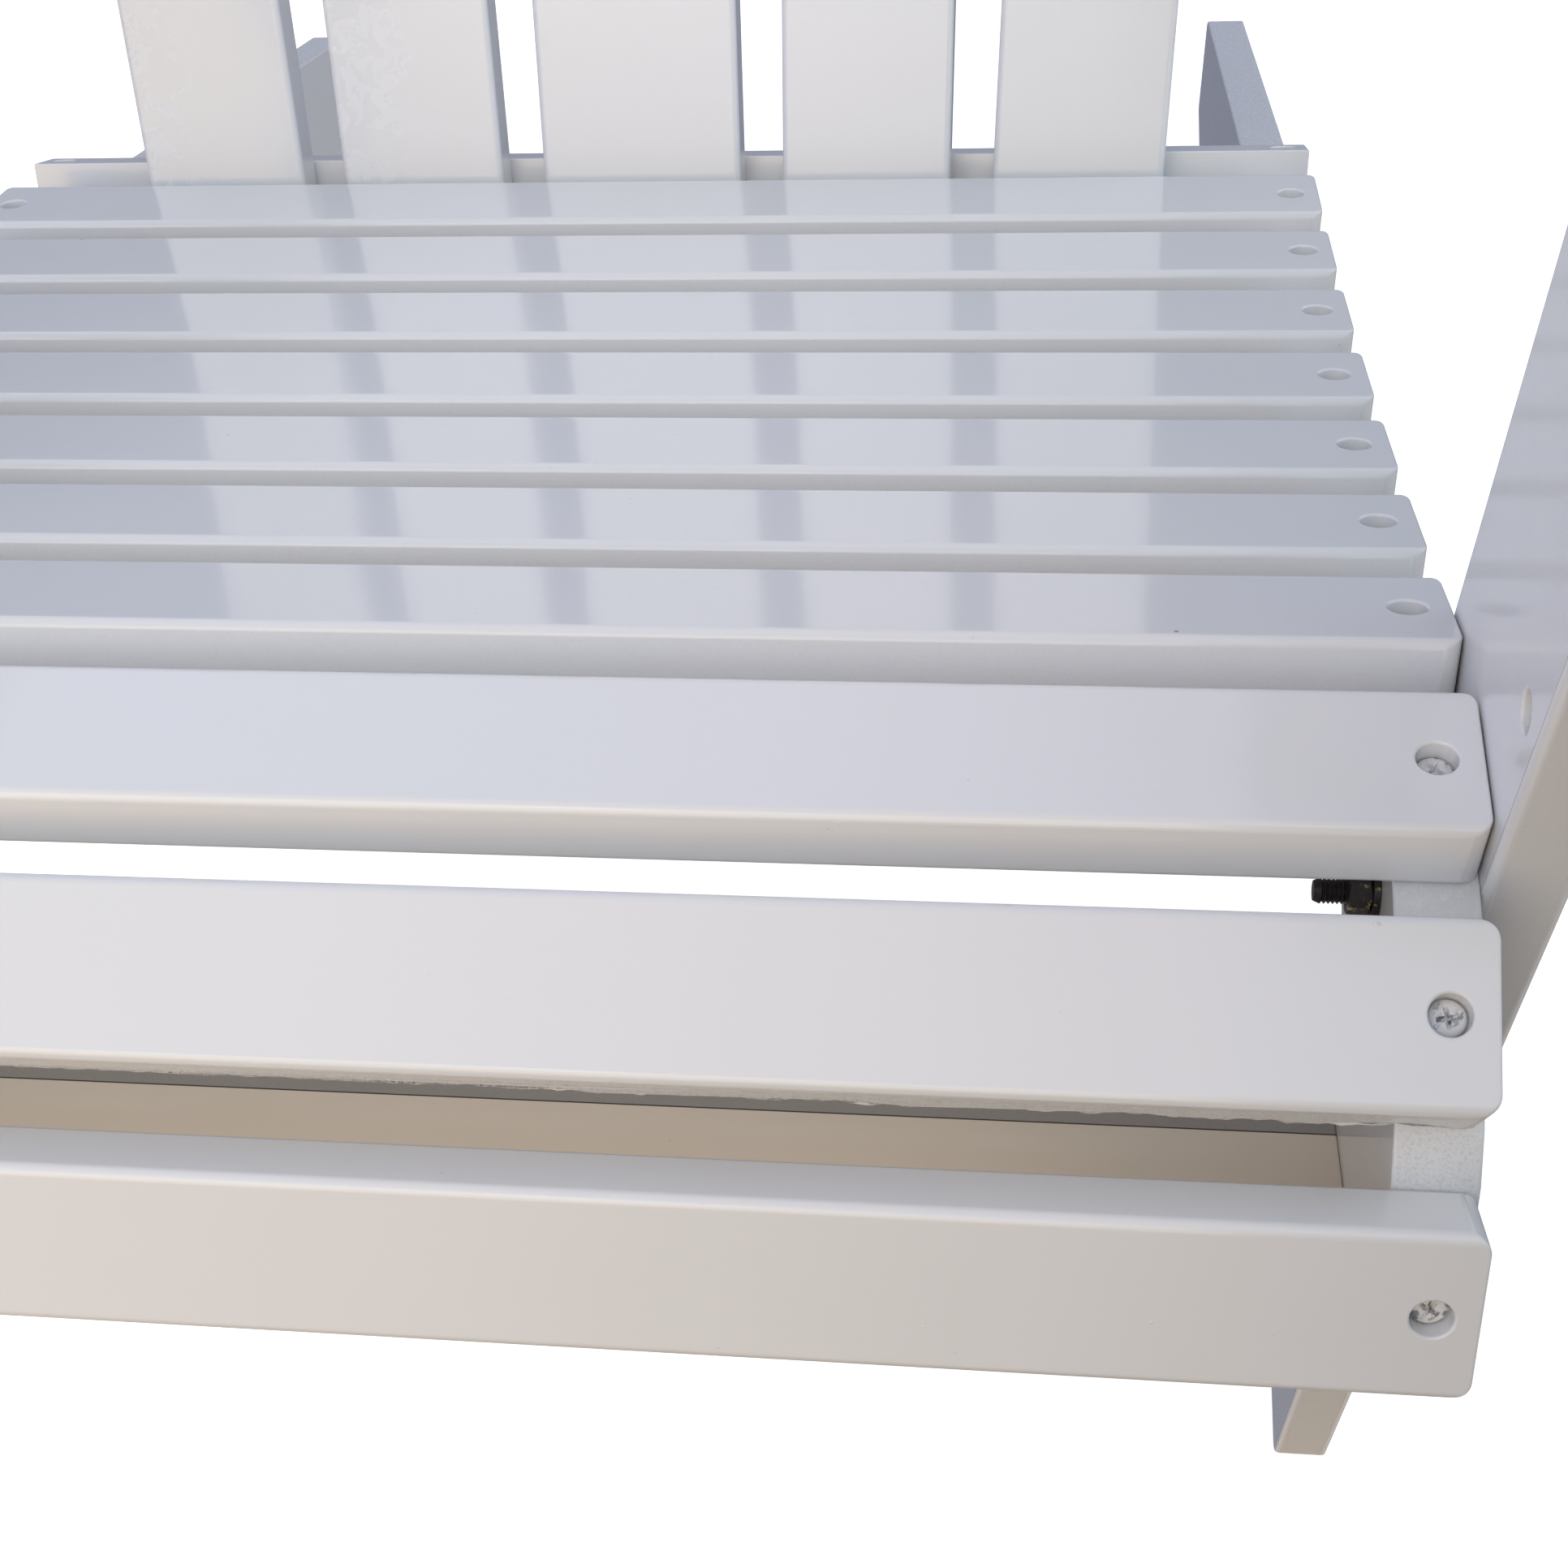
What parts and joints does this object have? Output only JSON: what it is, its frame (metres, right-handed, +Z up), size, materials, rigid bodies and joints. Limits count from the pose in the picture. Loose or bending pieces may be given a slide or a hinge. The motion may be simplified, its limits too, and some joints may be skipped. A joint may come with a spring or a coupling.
{
  "type": "adirondack chair",
  "caption": "Low garden lounge chair of painted boards: sloping slatted seat with a rounded front, reclined fan back, wide flat arms on front legs, long rear stringers.",
  "frame": {"origin": "on the floor, in the middle of the chair's box from left to right and from front to back", "axes": "+X to the chair's right as seen from the front, +Y from the front edge to the back, +Z up from the floor"},
  "size_m": [0.724, 0.9212, 0.8731],
  "materials": {
    "white_paint": "gloss",
    "zinc": "satin",
    "black_steel": "satin"
  },
  "bodies": {
    "root": {"left_stringer": "white_paint", "right_stringer": "white_paint", "left_front_leg": "white_paint", "right_front_leg": "white_paint", "front_stretcher": "white_paint", "seat_slat_1": "white_paint", "seat_slat_2": "white_paint", "seat_slat_3": "white_paint", "seat_slat_4": "white_paint", "seat_slat_5": "white_paint", "seat_slat_6": "white_paint", "seat_slat_7": "white_paint", "front_slat": "white_paint", "nose_slat": "white_paint", "front_apron": "white_paint", "lower_back_rail": "white_paint", "arm_rail": "white_paint", "top_batten": "white_paint", "back_slat_1": "white_paint", "back_slat_2": "white_paint", "back_slat_3": "white_paint", "back_slat_4": "white_paint", "back_slat_5": "white_paint", "left_armrest": "white_paint", "right_armrest": "white_paint", "left_arm_bracket": "white_paint", "right_arm_bracket": "white_paint", "seat_slat_screws": "zinc", "nose_screws": "zinc", "leg_bolts": "black_steel", "leg_bolt_washers": "black_steel", "leg_bolt_nuts": "black_steel", "bracket_screws": "zinc", "stretcher_screws": "zinc", "rail_screws": "zinc", "lower_back_screws": "zinc", "arm_rail_screws": "zinc", "batten_screws": "zinc", "armrest_screws": "zinc"}
  },
  "joints": []
}
